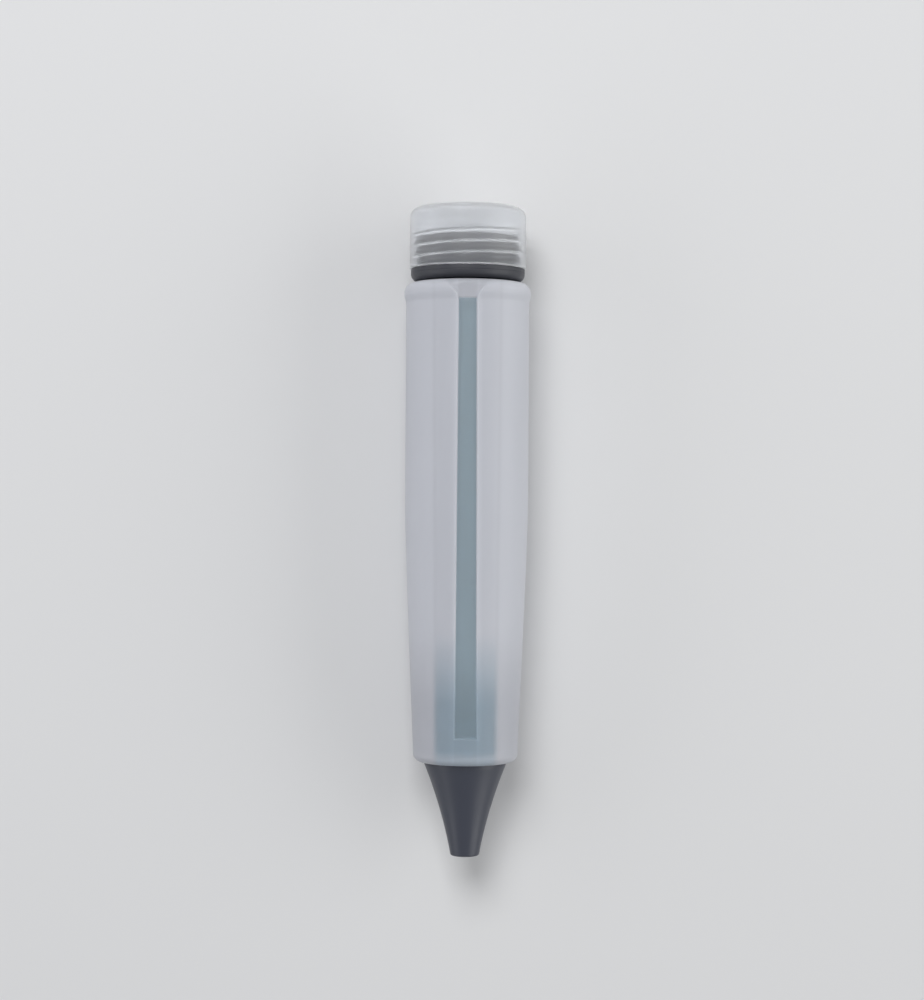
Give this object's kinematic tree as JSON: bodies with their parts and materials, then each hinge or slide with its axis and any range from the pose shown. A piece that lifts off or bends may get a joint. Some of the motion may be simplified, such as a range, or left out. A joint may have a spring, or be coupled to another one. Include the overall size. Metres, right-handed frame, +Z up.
{
  "type": "cake decorating syringe",
  "caption": "Pen-shaped cake decorating syringe with a tapered milky barrel and sight strip, ribbed plunger and piston, conical nozzle, and a screw-capped store for the spare nozzle.",
  "frame": {"origin": "on the floor under the middle of the pen, at the bottom centre of its box, as it lies on its side", "axes": "+Y along the pen from the fitted nozzle's tip to the screw cap, +Z up, the barrel's sight strip faces +Z"},
  "size_m": [0.0304, 0.1552, 0.0301],
  "materials": {
    "barrel_milky": "milky translucent polypropylene with a fine matt skin",
    "cap_frosted": "frosted translucent polypropylene",
    "nozzle_slate": "smooth dark slate plastic",
    "plunger_slate": "smooth dark slate plastic",
    "piston_grey": "dark grey plastic, satin",
    "seal_black": "food-safe silicone",
    "gasket_grey": "food-safe silicone"
  },
  "bodies": {
    "barrel_body": {"barrel": "barrel_milky"},
    "fitted_nozzle": {"nozzle_wide": "nozzle_slate"},
    "piston_body": {"piston": "piston_grey", "seal_ring_lower": "seal_black", "seal_ring_upper": "seal_black"},
    "plunger_body": {"plunger": "plunger_slate"},
    "spare_nozzle": {"nozzle_fine": "nozzle_slate"},
    "gasket_body": {"cap_gasket": "gasket_grey"},
    "cap_body": {"storage_cap": "cap_frosted"}
  },
  "joints": [
    {"name": "plunger_slide", "type": "slide", "parent": "barrel_body", "child": "piston_body", "axis": [0, 1, 0], "range_m": [0, 0.12]},
    {"name": "rod_turn", "type": "hinge", "parent": "piston_body", "child": "plunger_body", "pos_m": [0, 0, 0.01518], "axis": [0, 1, 0], "continuous": true},
    {"name": "nozzle_turn", "type": "hinge", "parent": "barrel_body", "child": "fitted_nozzle", "pos_m": [0, 0, 0.01518], "axis": [0, 1, 0], "continuous": true},
    {"name": "spare_lift", "type": "slide", "parent": "plunger_body", "child": "spare_nozzle", "axis": [0, 1, 0], "range_m": [0, 0.007]},
    {"name": "cap_turn", "type": "hinge", "parent": "plunger_body", "child": "gasket_body", "pos_m": [0, 0, 0.01518], "axis": [0, 1, 0], "range_deg": [0, 1080]},
    {"name": "cap_lift", "type": "slide", "parent": "gasket_body", "child": "cap_body", "axis": [0, 1, 0], "range_m": [0, 0.0079]}
  ],
  "couplings": [
    {"joint": "cap_lift", "follows": "cap_turn", "m_per_rad": 0.0004138}
  ]
}
